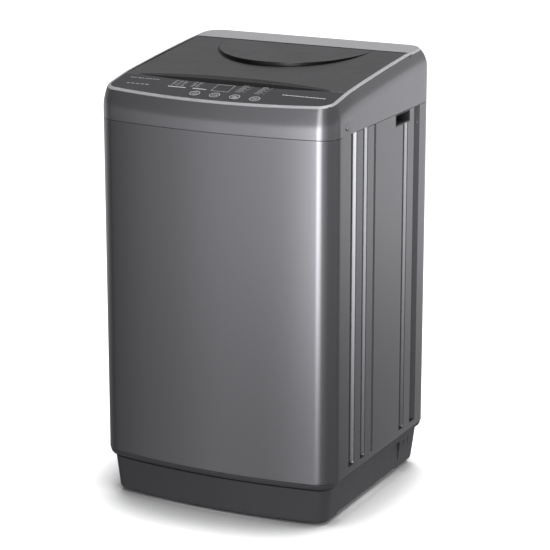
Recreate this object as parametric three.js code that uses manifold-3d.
// A top load washing machine: a painted steel cabinet on a moulded plinth, a sloping top cover with a
// control panel and a rear-hinged lid, and inside it a tub hung on four sprung rods, with its basket,
// impeller and drive. Millimetres, +Z up, front towards -Y, origin on the floor under the cabinet's middle.
import * as THREE from "three";
import { mergeVertices } from "three/addons/utils/BufferGeometryUtils.js";
import Module from "manifold-3d";

const wasm = await Module();
wasm.setup();

// ---------------------------------------------------------------- driving dimensions
const GAP = 0.3; // between pieces that touch
const HALF_W = 255; // half the cabinet's width
const HALF_D = 245; // half its depth, from the front's crown to the rear screws' heads
const BACK = 242.4; // outside of its back
const CROWN = 26; // how far the front bulges over the full width
const CORNER_R = 41; // front corner radius in plan
const REAR_R = 20; // rear corner radius in plan

const SKIRT_Z = 5; // lower edge of the plinth
const DECK_Z = 80; // underside of the plinth's deck
const CABINET_Z = 93; // lower edge of the steel cabinet
const SEAM_Z = 776; // where the cabinet meets the top cover
const SHEET = 1.2; // cabinet and rear panel thickness
const WALL = 3; // moulded wall thickness

// The top cover's edge in side view: front edge, fold behind the panel, fold behind the lid, rear edge.
const TOP_LINE = [
  [-HALF_D, 832],
  [-132, 854.5],
  [165, 885],
  [BACK, 889.5],
];
const RIM_INSET = 11; // the cover leans in by this much at its edge
const LIP = 4.5; // width of the edge round the panel and lid

const LID_REAR = 162.5;
const LID_FRONT = -132; // at the lid's front corners
const LID_HALF_W = HALF_W - RIM_INSET - LIP - 1;
const LID_THICK = 12;
const LID_SEAT = 16; // depth of the seat under the lid's face
const SCOOP_SPAN = 208; // half the width of the finger scoop
const SCOOP_REACH = 13; // how far each edge of it bows out in the middle
const HINGE = { y: 156.5, r: 2.4, bead: 6 };
const MOON = { r: 165, y: 162, rise: 7 }; // the raised half-moon on the lid

const OPENING = { halfX: 168, front: -92, rear: 128, r: 60, bottom: 700 };

const TUB = { r: 208, wall: 3, floor: 215, top: 650 };
const BASKET = { r: 190, floor: 238.3, top: 606, wall: 1.5 };
const SHAFT = { wash: 7, tubeIn: 7.4, tubeOut: 12, bore: 12.5 };
const ROD = { x: 200, y: 192, r: 4, foot: 200 };
const SPRING = { r: 14, wire: 2, height: 60, turns: 4 };
const PLATE_Z = 740; // hanger plates in the cabinet's corners
const PULLEY = { big: 70, small: 28, z: 100, height: 16, offset: 135 };
const BELT = { thick: 5, height: 9 };

const BUTTON = { xs: [-46, -3, 40, 83], y: -204, r: 11.6, hole: 12.2 };
const DISPLAY = { x0: -22, x1: 13, y0: -182, y1: -151 };

// ---------------------------------------------------------------- materials
function paint(color, roughness, metalness) {
  return new THREE.MeshStandardMaterial({ color, roughness, metalness });
}

const MATERIAL = {
  greyPaint: paint(0x6d6e72, 0.35, 0.6),
  silver: paint(0x8f9094, 0.35, 0.5),
  smoked: paint(0x3c3d3f, 0.2, 0.1),
  black: paint(0x141416, 0.15, 0),
  plinth: paint(0x3a3a3d, 0.6, 0),
  rubber: paint(0x1a1a1a, 0.9, 0),
  white: paint(0xd8dadb, 0.5, 0),
  steel: paint(0xb9bbbd, 0.3, 1),
  zinc: paint(0x9a9c9e, 0.45, 0.9),
  board: paint(0x1f5a34, 0.6, 0),
  grey: paint(0x77787c, 0.5, 0),
};

// ---------------------------------------------------------------- solids
// A closed geometry as a solid: shared corners merged, faces turned outwards.
function solid(geometry) {
  const bare = new THREE.BufferGeometry().setAttribute("position", geometry.getAttribute("position"));
  if (geometry.index) bare.setIndex(geometry.index);
  const merged = mergeVertices(bare, 1e-4);
  const corners = merged.index.array;
  const kept = [];
  for (let i = 0; i < corners.length; i += 3) {
    const [a, b, c] = [corners[i], corners[i + 1], corners[i + 2]];
    if (a !== b && b !== c && a !== c) kept.push(a, b, c);
  }
  const vertProperties = merged.attributes.position.array;
  const build = (triVerts) => new wasm.Manifold(new wasm.Mesh({ numProp: 3, vertProperties, triVerts }));
  const made = build(new Uint32Array(kept));
  return made.volume() > 0 ? made : build(new Uint32Array(kept.reverse()));
}

function geometryOf(made) {
  const { vertProperties, triVerts } = made.getMesh();
  const geometry = new THREE.BufferGeometry()
    .setAttribute("position", new THREE.BufferAttribute(vertProperties, 3))
    .setIndex(new THREE.BufferAttribute(triVerts, 1));
  geometry.computeVertexNormals();
  return geometry;
}

const join = (first, ...others) => others.reduce((sum, each) => sum.add(each), first);
const cut = (first, ...others) => others.reduce((rest, each) => rest.subtract(each), first);

// A box from its low and high corners.
function box(x0, y0, z0, x1, y1, z1) {
  const made = new THREE.BoxGeometry(x1 - x0, y1 - y0, z1 - z0);
  return solid(made.translate((x0 + x1) / 2, (y0 + y1) / 2, (z0 + z1) / 2));
}

// A box given for the right side, or its mirror image for the left. Side is 1 or -1.
function sideBox(side, x0, y0, z0, x1, y1, z1) {
  return side > 0 ? box(x0, y0, z0, x1, y1, z1) : box(-x1, y0, z0, -x0, y1, z1);
}

// An upright cylinder.
function post(r, z0, z1, x = 0, y = 0, sides = 18) {
  const made = new THREE.CylinderGeometry(r, r, z1 - z0, sides).rotateX(Math.PI / 2);
  return solid(made.translate(x, y, (z0 + z1) / 2));
}

// A cylinder along Y.
function spigot(r, y0, y1, x, z, sides = 18) {
  return solid(new THREE.CylinderGeometry(r, r, y1 - y0, sides).translate(x, (y0 + y1) / 2, z));
}

// A cylinder along X, given its middle.
function crossPin(r, length, x, y, z, sides = 12) {
  return solid(new THREE.CylinderGeometry(r, r, length, sides).rotateZ(Math.PI / 2).translate(x, y, z));
}

// A closed geometry from its points and its triangles' indices.
function closed(position, index) {
  const made = new THREE.BufferGeometry();
  made.setAttribute("position", new THREE.Float32BufferAttribute(position, 3));
  return solid(made.setIndex(index));
}

// A turned piece: [radius, height] pairs that start and end on the axis or close on themselves.
function turned(profile, sides = 32) {
  const points = profile.map(([r, z]) => new THREE.Vector2(r, z));
  if (profile[0][0] > 0) points.push(points[0].clone());
  return solid(new THREE.LatheGeometry(points, sides).rotateX(Math.PI / 2));
}

function tube(inner, outer, z0, z1, sides = 32) {
  return turned([[inner, z0], [outer, z0], [outer, z1], [inner, z1]], sides);
}

// A solid over a plan outline, between two heights that may each be a function of y.
function slab(plan, low, high) {
  const outline = THREE.ShapeUtils.isClockWise(plan) ? [...plan].reverse() : plan;
  const at = (height, y) => (typeof height === "function" ? height(y) : height);
  const faces = THREE.ShapeUtils.triangulateShape(outline, []);
  const n = outline.length;
  const position = [];
  for (const height of [low, high]) for (const p of outline) position.push(p.x, p.y, at(height, p.y));
  const index = [];
  for (const [a, b, c] of faces) index.push(a, c, b, a + n, b + n, c + n);
  for (let i = 0; i < n; i++) {
    const j = (i + 1) % n;
    index.push(i, j, j + n, i, j + n, i + n);
  }
  return closed(position, index);
}

// A solid through rings that have the same points in plan order, mirrored about x = 0. Its ends are flat
// from left to right.
function loft(rings) {
  const n = rings[0].length;
  const position = rings.flat().flatMap((p) => [p.x, p.y, p.z]);
  const index = [];
  rings.slice(1).forEach((_, level) => {
    for (let i = 0; i < n; i++) {
      const [a, b] = [level * n + i, level * n + ((i + 1) % n)];
      index.push(a, b, b + n, a, b + n, a + n);
    }
  });
  for (const [base, turn] of [[0, true], [(rings.length - 1) * n, false]]) {
    for (let i = 0; i < n / 2 - 1; i++) {
      const [a, b, c, d] = [i, i + 1, n - 2 - i, n - 1 - i].map((k) => base + k);
      index.push(...(turn ? [a, c, b, a, d, c] : [a, b, c, a, c, d]));
    }
  }
  return closed(position, index);
}

// ---------------------------------------------------------------- plan outlines
const FRONT_R = (HALF_W ** 2 + CROWN ** 2) / (2 * CROWN);
const FRONT_CENTRE_Y = FRONT_R - HALF_D;
const CORNER_X = HALF_W - CORNER_R;
const CORNER_Y = FRONT_CENTRE_Y - Math.sqrt((FRONT_R - CORNER_R) ** 2 - CORNER_X ** 2);

function arc(cx, cy, r, from, to, steps) {
  return Array.from({ length: steps + 1 }, (_, i) => {
    const angle = from + ((to - from) * i) / steps;
    return new THREE.Vector2(cx + r * Math.cos(angle), cy + r * Math.sin(angle));
  });
}

// Where the body's front arc runs into its corner round, as an angle about either centre.
const CORNER_FROM = Math.atan2(CORNER_Y - FRONT_CENTRE_Y, CORNER_X);

// The right half of the body's outline, from the front's middle to the rear's, set in by a distance.
function halfOutline(inset) {
  const rear = Math.max(REAR_R - inset, 4);
  const front = arc(0, FRONT_CENTRE_Y, FRONT_R - inset, -Math.PI / 2, CORNER_FROM, 4);
  const corner = arc(CORNER_X, CORNER_Y, Math.max(CORNER_R - inset, 1), CORNER_FROM, 0, 5).slice(1);
  const side = TOP_LINE.slice(1, 3).map(([y]) => new THREE.Vector2(HALF_W - inset, y));
  const back = arc(HALF_W - inset - rear, BACK - inset - rear, rear, 0, Math.PI / 2, 3);
  front[0].x = 0.01; // the two halves meet here without a doubled point
  return [...front, ...corner, ...side, ...back];
}

const mirrored = (half) => [...half, ...half.map((p) => new THREE.Vector2(-p.x, p.y)).reverse()];
const bodyOutline = (inset) => mirrored(halfOutline(inset));

// A ring of the body's outline at a height, or at a height that follows the top line.
function ring(inset, height) {
  const at = (y) => (typeof height === "function" ? height(y) : height);
  return bodyOutline(inset).map(({ x, y }) => new THREE.Vector3(x, y, at(y)));
}

function topLine(y) {
  const k = y < TOP_LINE[1][0] ? 0 : y < TOP_LINE[2][0] ? 1 : 2;
  const [[y0, z0], [y1, z1]] = [TOP_LINE[k], TOP_LINE[k + 1]];
  return z0 + ((z1 - z0) * (y - y0)) / (y1 - y0);
}
const below = (depth) => (y) => topLine(y) - depth;
// The planes that the panel and the lid lie in, which carry on past their folds.
const planeThrough = ([y0, z0], [y1, z1]) => {
  return (depth) => (y) => z0 + ((z1 - z0) * (y - y0)) / (y1 - y0) - depth;
};
const panelPlane = planeThrough(TOP_LINE[0], TOP_LINE[1]);
const lidPlane = planeThrough(TOP_LINE[1], TOP_LINE[2]);
const slopeOf = ([y0, z0], [y1, z1]) => Math.atan2(z1 - z0, y1 - y0);
const PANEL_TILT = slopeOf(TOP_LINE[0], TOP_LINE[1]);

// A rounded rectangle in plan.
function roundedRect(x0, y0, x1, y1, r, steps = 5) {
  return [
    ...arc(x1 - r, y0 + r, r, -Math.PI / 2, 0, steps),
    ...arc(x1 - r, y1 - r, r, 0, Math.PI / 2, steps),
    ...arc(x0 + r, y1 - r, r, Math.PI / 2, Math.PI, steps),
    ...arc(x0 + r, y0 + r, r, Math.PI, 1.5 * Math.PI, steps),
  ];
}

// A shallow arc from right to left through (span, y), bowed by sag at x = 0.
function bow(span, y, sag, steps = 8) {
  return Array.from({ length: steps + 1 }, (_, i) => {
    const x = span * (1 - (2 * i) / steps);
    return new THREE.Vector2(x, y + sag * (1 - (x / span) ** 2));
  });
}

// The lid in plan: square rear corners, and a front edge that bows back over the finger scoop.
function lidOutline(grow = 0) {
  const half = LID_HALF_W + grow;
  return [
    new THREE.Vector2(half, LID_REAR + grow),
    new THREE.Vector2(-half, LID_REAR + grow),
    new THREE.Vector2(-half, LID_FRONT - grow),
    ...bow(SCOOP_SPAN, LID_FRONT - grow, SCOOP_REACH).reverse(),
    new THREE.Vector2(half, LID_FRONT - grow),
  ];
}

// The control panel in plan: it follows the body's front, and its rear edge bows forward round the scoop.
function panelOutline(shrink = 0) {
  const inset = RIM_INSET + LIP + shrink;
  const half = halfOutline(inset).filter((p) => p.y < LID_FRONT - 20);
  const rear = LID_FRONT - 2 - shrink;
  return [
    ...half,
    new THREE.Vector2(HALF_W - inset, rear),
    ...bow(SCOOP_SPAN, rear, -SCOOP_REACH),
    new THREE.Vector2(inset - HALF_W, rear),
    ...half.map((p) => new THREE.Vector2(-p.x, p.y)).reverse(),
  ];
}

// ---------------------------------------------------------------- the scene graph
const machine = new THREE.Group();

function piece(name, made, material, parent = machine) {
  const mesh = new THREE.Mesh(geometryOf(made), material);
  mesh.name = name;
  parent.add(mesh);
  return mesh;
}

// ---------------------------------------------------------------- cabinet
// Pressed grooves in each side: front edge, floor start, floor end, rear edge, depth, top.
const GROOVES = [
  [-139, -137, -116, -113, 8, SEAM_Z],
  [-84, -82, -66, -63, 7, SEAM_Z],
  [-33, -31.5, -27.5, -25, 2.5, SEAM_Z],
  [108, 110, 128, 131, 7, 747],
  [163, 165, 182, 190, 9, SEAM_Z],
];
const GROOVE_END = 110; // lower end of every groove
const TAB = { y0: -177, y1: -143, top: 801, screwY: -158, screwZ: 789.5 };
const HANDLE = { y0: 70, y1: 142, z: 751, depth: 30, wall: 2 };

const BACK_OPENING = 217; // half the width of the opening in the cabinet's back
const REAR_Y = BACK - SHEET - GAP; // outside of the rear panel, which closes the opening from within
const REAR_TOP = 734; // top of the rear panel, under the hanger plates
const REAR_SCREWS = [-1, 1].flatMap((s) => [150, 700].map((z) => [s * (BACK_OPENING + 9), z]));
const INLET = { x: -150, z: 836, r: 13 };
const DRAIN = { x: 175, z: 150, r: 15 };
const CORD = { x: 195, z: 690, r: 7 };

// One groove of a side, made a little thicker and longer for the metal behind it.
function groove([y0, y1, y2, y3, depth, top], side, grow) {
  const face = side * (HALF_W + (grow ? 0 : 1));
  const floor = side * (HALF_W - depth - grow);
  const outline = [[face, y0 - grow], [floor, y1 - grow], [floor, y2 + grow], [face, y3 + grow]];
  const points = outline.map(([x, y]) => new THREE.Vector2(x, y));
  return slab(points, GROOVE_END - grow, top + (grow ? 0 : 1));
}

// A triangular plate across a corner, which a hanger rod's ball sits on.
function hangerPlate(sx, sy) {
  const reach = 62;
  const x = HALF_W - SHEET / 2;
  const y = sy < 0 ? -223 : BACK - SHEET / 2;
  const corners = [[x, y], [x - reach, y], [x, y - sy * reach]];
  const made = slab(corners.map(([px, py]) => new THREE.Vector2(px * sx, py)), PLATE_Z, PLATE_Z + 3);
  const inside = loft([ring(0.5, 0), ring(0.5, 900)]);
  return cut(made.intersect(inside), post(ROD.r + 2, 0, 900, sx * ROD.x, sy * ROD.y, 12));
}

function cabinetShell() {
  const outer = loft([ring(0, CABINET_Z), ring(0, SEAM_Z)]);
  const inner = loft([ring(SHEET, 0), ring(SHEET, 900)]);
  let made = cut(outer, inner);
  for (const sx of [-1, 1]) for (const sy of [-1, 1]) made = made.add(hangerPlate(sx, sy));
  for (const side of [-1, 1]) {
    for (const each of GROOVES) made = made.add(groove(each, side, SHEET).intersect(outer));
    for (const each of GROOVES) made = made.subtract(groove(each, side, 0));
    made = made.add(sideBox(side, HALF_W - SHEET, TAB.y0, SEAM_Z - 5, HALF_W, TAB.y1, TAB.top));
    made = made.subtract(crossPin(2.6, 20, side * HALF_W, TAB.screwY, TAB.screwZ));
    const slot = sideBox(side, HALF_W - 12, HANDLE.y0, HANDLE.z, HALF_W + 5, HANDLE.y1, SEAM_Z + 5);
    made = made.subtract(slot);
  }
  const back = [CABINET_Z + 20, REAR_TOP - 18];
  made = made.subtract(box(-BACK_OPENING, BACK - 8, back[0], BACK_OPENING, BACK + 8, back[1]));
  made = made.subtract(join(...REAR_SCREWS.map(([x, z]) => spigot(2.2, BACK - 5, BACK + 5, x, z, 10))));
  return made;
}

function rearPanel() {
  const half = BACK_OPENING + 17;
  const plate = box(-half, REAR_Y - SHEET, CABINET_Z + 4, half, REAR_Y, REAR_TOP);
  const beads = [-120, 0, 120].map((x) => box(x - 14, REAR_Y - 6, 220, x + 14, REAR_Y - SHEET / 2, 640));
  const dents = [-120, 0, 120].map((x) => {
    return box(x - 14 + SHEET, REAR_Y - 6 + SHEET, 220 + SHEET, x + 14 - SHEET, REAR_Y + 5, 640 - SHEET);
  });
  const holes = [
    spigot(DRAIN.r + GAP, 200, 260, DRAIN.x, DRAIN.z),
    spigot(CORD.r + GAP, 200, 260, CORD.x, CORD.z, 16),
    ...REAR_SCREWS.map(([x, z]) => spigot(2.2, 200, 260, x, z, 10)),
  ];
  return cut(join(plate, ...beads), ...dents, ...holes);
}

function drainOutlet() {
  return cut(spigot(DRAIN.r, 190, 244.7, DRAIN.x, DRAIN.z), spigot(11, 180, 250, DRAIN.x, DRAIN.z));
}

// A rubber bush for the mains lead, blind at its inner end.
function cordGland() {
  const flange = spigot(11, REAR_Y + GAP, 244.7, CORD.x, CORD.z);
  const bush = join(spigot(CORD.r, 228, 244, CORD.x, CORD.z, 16), flange);
  return cut(bush, spigot(3.5, 231, 250, CORD.x, CORD.z, 12));
}

// A pan-head screw pointing along its own -Y, its head's underside at the origin.
function screwSolid(length) {
  return join(spigot(3.8, 0, 2.2, 0, 0, 10), spigot(1.9, -length, 0.5, 0, 0, 6));
}

// ---------------------------------------------------------------- plinth and feet
const FOOT = { x: 190, y: 178, r: 19, pad: 12, stem: 5 };

function plinth() {
  const rings = [
    [27, SKIRT_Z], [22, SKIRT_Z + 3], [19.5, SKIRT_Z + 10], [12.5, 75], [16, 76.5], [16, 79],
    [9, DECK_Z], [3.5, 84], [1.5, 89], [1.5, CABINET_Z - GAP],
  ].map(([inset, z]) => ring(inset, z));
  const hollow = loft([ring(27, 0), ring(23.5, 30), ring(20, DECK_Z)]);
  const well = loft([ring(12, 86), ring(12, 120)]);
  const bay = slab(roundedRect(-170, -178, 170, 178, 90), 0, 200);
  // Each side stands back a little between its corner blocks.
  const sides = [-1, 1].map((side) => sideBox(side, HALF_W - 17.5, -148, -1, HALF_W + 5, 150, 70));
  const flutes = [-1, 1].flatMap((side) => {
    return [168, 190].map((y) => post(3, -1, 66, side * (HALF_W - 13.5), y, 10));
  });
  const feet = [-1, 1].flatMap((sx) => [-1, 1].map((sy) => [sx * FOOT.x, sy * FOOT.y]));
  const bosses = feet.map(([x, y]) => post(FOOT.r - 3, FOOT.pad + GAP, DECK_Z + 2, x, y));
  const stems = feet.map(([x, y]) => post(FOOT.stem + GAP, -1, 70, x, y, 16));
  return cut(join(cut(loft(rings), hollow, well, bay, ...sides, ...flutes), ...bosses), ...stems);
}

// A round foot whose stem goes up into the plinth: short where it's pushed in, long where it's threaded.
function foot(top) {
  const { r, pad, stem } = FOOT;
  return turned([[0, 0], [r - 2, 0], [r, 2], [r, pad], [stem, pad], [stem, top], [0, top]], 18);
}

// ---------------------------------------------------------------- handle cups
function handleCup(side) {
  const { y0, y1, z, depth, wall } = HANDLE;
  const [low, high] = [y0 + GAP, y1 - GAP];
  const top = SEAM_Z - GAP;
  const outer = sideBox(side, HALF_W - depth, low, z + GAP, HALF_W, high, top);
  const back = HALF_W - depth + wall;
  return cut(outer, sideBox(side, back, low + wall, z + GAP + wall, HALF_W + 2, high - wall, top - wall));
}

// ---------------------------------------------------------------- top cover
function opening(grow, z0, z1) {
  const { halfX, front, rear, r } = OPENING;
  return slab(roundedRect(-halfX - grow, front - grow, halfX + grow, rear + grow, r + grow), z0, z1);
}

function topCover() {
  const outerRings = [
    [0, SEAM_Z + GAP], [0, below(40)], [2.5, below(22)], [6.5, below(8)], [8.5, below(2.5)],
    [RIM_INSET, below(0)],
  ];
  const innerRings = [
    [WALL, SEAM_Z - 20], [WALL, below(42)], [2.5 + WALL, below(24)], [RIM_INSET + WALL - 2, below(WALL)],
  ];
  const outer = loft(outerRings.map(([inset, z]) => ring(inset, z)));
  const inner = loft(innerRings.map(([inset, z]) => ring(inset, z)));
  const lidFloor = lidPlane(LID_SEAT + WALL);
  const lidBlock = slab(lidOutline(WALL + 1), lidFloor, 960).intersect(outer);
  const lidPocket = slab(lidOutline(1), lidPlane(LID_SEAT), 960);
  const panelBlock = slab(panelOutline(-WALL), panelPlane(3.3 + WALL), 960).intersect(outer);
  const panelPocket = slab(panelOutline(-GAP), panelPlane(3.3), 960);
  const scoopShape = (grow) => [
    ...bow(SCOOP_SPAN + grow, LID_FRONT - 2 - grow, -SCOOP_REACH),
    ...bow(SCOOP_SPAN + grow, LID_FRONT + 14 + grow, SCOOP_REACH).reverse(),
  ];
  const scoopBlock = slab(scoopShape(WALL), lidPlane(24 + WALL), 960).intersect(outer);
  const scoop = slab(scoopShape(0), lidPlane(24), 960);
  const collar = opening(WALL, OPENING.bottom, lidPlane(LID_SEAT + 1));
  const displayHole = box(DISPLAY.x0, DISPLAY.y0, 800, DISPLAY.x1, DISPLAY.y1, 900);
  let made = join(cut(outer, inner), lidBlock, panelBlock, scoopBlock, collar);
  const mouth = opening(0, 600, 960);
  made = cut(made, lidPocket, panelPocket, scoop, mouth, displayHole, ...buttonHoles(BUTTON.hole + 0.4));
  made = made.subtract(box(-39, 120, 837.7, 39, 140, 857.3)); // the spout comes through the collar here
  made = made.subtract(spigot(INLET.r + 8, 220, 260, INLET.x, INLET.z)); // the inlet hose goes on here
  for (const side of [-1, 1]) {
    const [low, high] = [TAB.y0 - GAP, TAB.y1 + GAP];
    const face = HALF_W - SHEET - GAP; // of the recess for the cabinet's screw tab
    made = made.subtract(sideBox(side, face, low, SEAM_Z - 9, HALF_W + 5, high, TAB.top + GAP));
    made = made.subtract(crossPin(2.2, 30, side * HALF_W, TAB.screwY, TAB.screwZ, 10));
    made = made.subtract(crossPin(HINGE.r + 0.2, 24, side * (LID_HALF_W + 1), HINGE.y, HINGE_Z, 16));
  }
  return made;
}
const HINGE_Z = lidPlane(HINGE.bead)(HINGE.y);

function waterSpout() {
  const outer = box(-38.5, 122, 838, 38.5, 190, 857);
  const channel = box(-36.5, 100, 840, 36.5, 188, 855);
  const grille = [-24, -12, 0, 12, 24].map((x) => box(x - 1.5, 122, 839, x + 1.5, 124, 856));
  return join(cut(outer, channel), ...grille);
}

function waterValve() {
  const body = join(
    box(INLET.x - 22, 182, 815, INLET.x + 22, 222, 860),
    spigot(INLET.r, 221, 244.5, INLET.x, INLET.z),
    post(14, 780, 816, INLET.x, 198, 20),
  );
  return body.subtract(spigot(9, 230, 250, INLET.x, INLET.z, 16));
}

// A round hole square to the control panel's face, for each button.
function buttonHoles(r) {
  const { xs, y } = BUTTON;
  return xs.map((x) => post(r, -30, 10, 0, 0, 18).rotate([THREE.MathUtils.radToDeg(PANEL_TILT), 0, 0])
    .translate([x, y, panelPlane(0)(y)]));
}

function controlPanel() {
  const plate = slab(panelOutline(0), panelPlane(3), panelPlane(0.2));
  const window = box(DISPLAY.x0, DISPLAY.y0, 700, DISPLAY.x1, DISPLAY.y1, 900);
  return cut(plate, window, ...buttonHoles(BUTTON.hole));
}

function displayWindow() {
  const { x0, x1, y0, y1 } = DISPLAY;
  return slab(roundedRect(x0 + GAP, y0 + GAP, x1 - GAP, y1 - GAP, 1, 1), panelPlane(5), panelPlane(0));
}

// ---------------------------------------------------------------- lid
function lidPanel() {
  const outer = slab(lidOutline(0), lidPlane(LID_THICK), lidPlane(0));
  const bead = crossPin(HINGE.bead, 2 * LID_HALF_W, 0, HINGE.y, HINGE_Z, 20);
  // Everything behind the hinge axis is the round bead, so the edge turns in its own space.
  const trimmed = outer.subtract(box(-300, HINGE.y, 700, 300, 300, 1000));
  const inner = roundedRect(18 - LID_HALF_W, LID_FRONT + 26, LID_HALF_W - 18, LID_REAR - 22, 12);
  const hollow = slab(inner, 700, lidPlane(3.2));
  const moonRear = HINGE.y - 4;
  const moonShape = arc(0, MOON.y, MOON.r, Math.PI, 2 * Math.PI, 26).filter((p) => p.y < moonRear);
  const moonTop = (y) => lidPlane(0)(y) + (MOON.rise * (moonRear - y)) / (moonRear - MOON.y + MOON.r);
  const moon = slab(moonShape, lidPlane(1), moonTop);
  const pins = [-1, 1].map((side) => {
    return crossPin(HINGE.r + GAP, 24, side * (LID_HALF_W - 8), HINGE.y, HINGE_Z, 16);
  });
  return cut(join(trimmed, bead, moon), hollow, ...pins);
}

function hingePin(side) {
  return crossPin(HINGE.r, 22, side * (LID_HALF_W - 4), HINGE.y, HINGE_Z, 16);
}

// ---------------------------------------------------------------- tub, basket and impeller
function outerTub() {
  const { r, wall, floor, top } = TUB;
  const cup = turned([
    [30.3, floor - 2], [r - 14, floor - 2], [r, floor + 12], [r, top - 8], [r + 5, top - 8], [r + 5, top],
    [r - wall, top], [r - wall, floor + 14], [r - 16, floor + wall - 2], [30.3, floor + wall - 2],
  ], 32);
  const lugZ = ROD.foot + 6 + SPRING.height + 2 * GAP;
  const lugs = [-1, 1].flatMap((sx) => [-1, 1].map((sy) => {
    const arm = new THREE.BoxGeometry(90, 30, 14).translate(r - 4 + 45, 0, lugZ + 7);
    arm.rotateZ(Math.atan2(sy * ROD.y, sx * ROD.x));
    const eye = post(17, lugZ, lugZ + 14, sx * ROD.x, sy * ROD.y);
    const inside = loft([ring(22, 0), ring(22, 900)]);
    return cut(join(solid(arm).intersect(inside), eye), post(r - 1, 0, 900, 0, 0, 32));
  }));
  const corners = [-1, 1].flatMap((sx) => [-1, 1].map((sy) => [sx * ROD.x, sy * ROD.y]));
  return cut(join(cup, ...lugs), ...corners.map(([x, y]) => post(ROD.r + 2, 0, 700, x, y, 12)));
}

const tubRing = () => turned([
  [168, TUB.top + GAP], [TUB.r + 5, TUB.top + GAP], [TUB.r + 5, TUB.top + 5], [TUB.r - 6, TUB.top + 12],
  [175, TUB.top + 22], [168, TUB.top + 22],
], 32);

function basket() {
  const { r, floor, top, wall } = BASKET;
  const slots = Array.from({ length: 12 }, (_, k) => {
    const slot = new THREE.BoxGeometry(20, 6, 60).translate(r, 0, floor + 60);
    return solid(slot.rotateZ((2 * Math.PI * (k + 0.5)) / 12));
  });
  const drum = turned([
    [14, floor], [r - 22, floor], [r, floor + 22], [r, top], [r - wall, top], [r - wall, floor + 22.6],
    [r - 22.6, floor + wall], [14, floor + wall],
  ]);
  return cut(drum, ...slots);
}

const balanceRing = () => turned([
  [162, 604], [BASKET.r - BASKET.wall - GAP, 604], [BASKET.r - BASKET.wall - GAP, BASKET.top + GAP],
  [197, BASKET.top + GAP], [197, 636], [190, 642], [168, 642], [160, 632],
], 32);

const basketHub = () => turned([
  [SHAFT.tubeIn, 150], [SHAFT.tubeOut, 150], [SHAFT.tubeOut, 226], [30, 230], [80, 231],
  [80, BASKET.floor - GAP], [13.5, BASKET.floor - GAP], [13.5, 243], [SHAFT.tubeIn, 243],
], 32);

function lintFilter() {
  const r = BASKET.r - BASKET.wall - GAP;
  const shell = tube(r - 16, r, 330, 490, 32);
  return shell.intersect(box(-38, 100, 320, 38, 220, 500));
}

function impeller() {
  const dish = turned([
    [0, 246], [150, 246], [166, 262], [163, 264], [148, 252], [60, 253], [34, 268], [26, 274], [0, 274],
  ], 32);
  const vanes = [0, 1, 2, 3].map((k) => {
    const vane = new THREE.BoxGeometry(108, 9, 22).translate(90, 0, 262);
    const low = solid(vane.rotateZ((k * Math.PI) / 2));
    return low.intersect(turned([[0, 240], [150, 240], [150, 256], [40, 274], [0, 274]], 32));
  });
  return join(cut(dish, post(4, 268, 280)), ...vanes, post(SHAFT.wash, 146, 247, 0, 0, 20));
}

const impellerScrew = () => join(post(9, 274 + GAP, 278), post(4 - GAP, 269, 275, 0, 0, 16));

// ---------------------------------------------------------------- drive
const gearbox = () => turned([
  [SHAFT.bore, 118], [40, 118], [52, 124], [56, 140], [56, 190], [74, 196], [74, 204], [22, 206], [22, 224],
  [SHAFT.bore, 224],
], 24);

const tubSeal = () => tube(22.3, 30, 211, 223, 32);

function drivePlate() {
  const plate = box(-95, -185, 206.6, 95, 80, 210.5);
  const lips = [-1, 1].map((s) => box(s > 0 ? 92 : -95, -185, 190, s > 0 ? 95 : -92, 80, 208));
  return cut(join(plate, ...lips), post(31, 150, 250));
}

function motor() {
  const body = turned([[0, 130], [30, 130], [52, 136], [52, 190], [40, 198], [0, 198]], 32)
    .add(post(16, 197, 206.2)).add(post(14, 122, 131));
  return body.subtract(post(6.3, 110, 160, 0, 0, 16)).translate([0, -PULLEY.offset, 0]);
}

// A belt pulley with a flange each side of its groove, on a stub shaft that goes up into what it drives.
function pulley(r, shaft, shaftTop) {
  const { z, height } = PULLEY;
  return turned([
    [0, z - 4], [shaft + 5, z - 4], [shaft + 5, z], [r + 6, z], [r + 6, z + 2.5], [r, z + 3.2],
    [r, z + height - 3.2], [r + 6, z + height - 2.5], [r + 6, z + height], [shaft, z + height],
    [shaft, shaftTop], [0, shaftTop],
  ], r > 40 ? 28 : 18);
}

// The closed outline of a belt round both pulleys, lying off their grooves by a distance.
function beltOutline(off) {
  const [big, small] = [PULLEY.big + off, PULLEY.small + off];
  const lean = Math.asin((big - small) / PULLEY.offset);
  return [
    ...arc(0, 0, big, -lean, Math.PI + lean, 22),
    ...arc(0, -PULLEY.offset, small, Math.PI + lean, 2 * Math.PI - lean, 10),
  ];
}

function driveBelt() {
  const z = PULLEY.z + (PULLEY.height - BELT.height) / 2;
  const outer = slab(beltOutline(2 * GAP + BELT.thick), z, z + BELT.height);
  return cut(outer, slab(beltOutline(2 * GAP), z - 1, z + 20));
}

function drainPump() {
  return join(
    post(34, 150, 200, 120, 118), post(20, 199, 212.6, 120, 118),
    box(112, 146, 160, 128, 186, 176), box(86, 96, 162, 154, 140, 188),
  );
}

// ---------------------------------------------------------------- suspension
const rod = () => turned([
  [0, ROD.foot], [16, ROD.foot], [16, ROD.foot + 6], [ROD.r, ROD.foot + 6], [ROD.r, PLATE_Z + 3 + GAP],
  [13, PLATE_Z + 3 + GAP], [12, PLATE_Z + 10], [6, PLATE_Z + 15], [0, PLATE_Z + 16],
], 12);

class Helix extends THREE.Curve {
  getPoint(t, target = new THREE.Vector3()) {
    const { r, wire, height, turns } = SPRING;
    const angle = 2 * Math.PI * turns * t;
    const radius = r - wire;
    return target.set(radius * Math.cos(angle), radius * Math.sin(angle), wire + (height - 2 * wire) * t);
  }
}

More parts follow.
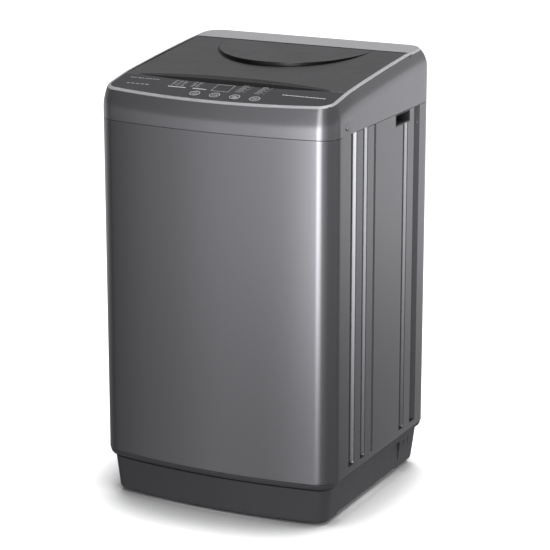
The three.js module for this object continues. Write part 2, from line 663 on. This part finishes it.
function spring() {
  const section = new THREE.Shape(arc(0, 0, SPRING.wire * 0.95, 0, 1.5 * Math.PI, 3));
  const made = new THREE.ExtrudeGeometry(section, { steps: SPRING.turns * 8, extrudePath: new Helix() });
  return solid(made);
}

// ---------------------------------------------------------------- assembly: cabinet
piece("cabinet_shell", cabinetShell(), MATERIAL.greyPaint);
piece("rear_panel", rearPanel(), MATERIAL.zinc);
piece("base_plinth", plinth(), MATERIAL.plinth);
piece("handle_cup_left", handleCup(-1), MATERIAL.grey);
piece("handle_cup_right", handleCup(1), MATERIAL.grey);
for (const [name, sx] of [["left", -1], ["right", 1]]) {
  piece("rear_foot_" + name, foot(40), MATERIAL.rubber).position.set(sx * FOOT.x, FOOT.y, 0);
  piece("levelling_foot_" + name, foot(60), MATERIAL.rubber).position.set(sx * FOOT.x, -FOOT.y, 0);
  const screw = piece("side_screw_" + name, screwSolid(8), MATERIAL.zinc);
  screw.rotation.z = (-sx * Math.PI) / 2;
  screw.position.set(sx * (HALF_W + GAP), TAB.screwY, TAB.screwZ);
}
REAR_SCREWS.forEach(([x, z], i) => {
  piece("rear_screw_" + (i + 1), screwSolid(6).translate([x, BACK + GAP, z]), MATERIAL.zinc);
});
piece("drain_outlet", drainOutlet(), MATERIAL.grey);
piece("cord_gland", cordGland(), MATERIAL.rubber);
piece("motor_capacitor", post(17, 86.5, 150, -212, 60, 20), MATERIAL.white);

// ---------------------------------------------------------------- assembly: top
piece("top_cover", topCover(), MATERIAL.silver);
piece("control_panel", controlPanel(), MATERIAL.black);
piece("display_window", displayWindow(), MATERIAL.smoked);
const boardShape = roundedRect(-150, -220, 150, -160, 2, 1);
piece("control_board", slab(boardShape, panelPlane(13), panelPlane(10.5)), MATERIAL.board);
piece("water_valve", waterValve(), MATERIAL.white);
piece("water_spout", waterSpout(), MATERIAL.white);
piece("level_sensor", join(post(22, 800, 826, 150, 205), post(5, 782, 801, 150, 205, 12)), MATERIAL.white);
piece("lid_sensor", box(196, -20, 838, 216, 14, 847), MATERIAL.black);

// ---------------------------------------------------------------- assembly: lid and buttons
piece("lid_panel", lidPanel(), MATERIAL.smoked);
piece("hinge_pin_left", hingePin(-1), MATERIAL.steel);
piece("hinge_pin_right", hingePin(1), MATERIAL.steel);
const magnetShape = arc(206, -3, 5, 0, (2 * Math.PI * 11) / 12, 11);
piece("lid_magnet", slab(magnetShape, lidPlane(8), lidPlane(3.2 + GAP)), MATERIAL.zinc);

["power", "start", "program", "level"].forEach((name, i) => {
  const cap = turned([[0, -6.5], [BUTTON.r, -6.5], [BUTTON.r, 0.2], [BUTTON.r - 0.8, 0.8], [0, 0.8]], 18);
  const button = piece("button_" + name, cap, MATERIAL.grey);
  button.rotation.x = PANEL_TILT;
  button.position.set(BUTTON.xs[i], BUTTON.y, panelPlane(0)(BUTTON.y));
});

// ---------------------------------------------------------------- assembly: hanging tub
piece("outer_tub", outerTub(), MATERIAL.white);
piece("tub_ring", tubRing(), MATERIAL.white);
piece("tub_seal", tubSeal(), MATERIAL.rubber);
piece("drive_plate", drivePlate(), MATERIAL.zinc);
piece("gearbox", gearbox(), MATERIAL.zinc);
piece("motor", motor(), MATERIAL.grey);
piece("drive_belt", driveBelt(), MATERIAL.rubber);
piece("drain_pump", drainPump(), MATERIAL.white);
piece("basket", basket(), MATERIAL.steel);
piece("basket_hub", basketHub(), MATERIAL.zinc);
piece("balance_ring", balanceRing(), MATERIAL.white);
piece("lint_filter", lintFilter(), MATERIAL.white);
piece("impeller", impeller(), MATERIAL.white);
piece("impeller_screw", impellerScrew(), MATERIAL.steel);
piece("drive_pulley", pulley(PULLEY.big, 8, 140), MATERIAL.zinc);
piece("motor_pulley", pulley(PULLEY.small, 6, 150), MATERIAL.zinc).position.y = -PULLEY.offset;

for (const [side, sx] of [["left", -1], ["right", 1]]) {
  for (const [end, sy] of [["front", -1], ["rear", 1]]) {
    const [x, y] = [sx * ROD.x, sy * ROD.y];
    piece("hanger_rod_" + end + "_" + side, rod(), MATERIAL.steel).position.set(x, y, 0);
    piece("spring_" + end + "_" + side, spring(), MATERIAL.steel).position.set(x, y, ROD.foot + 6 + GAP);
  }
}

export default machine;
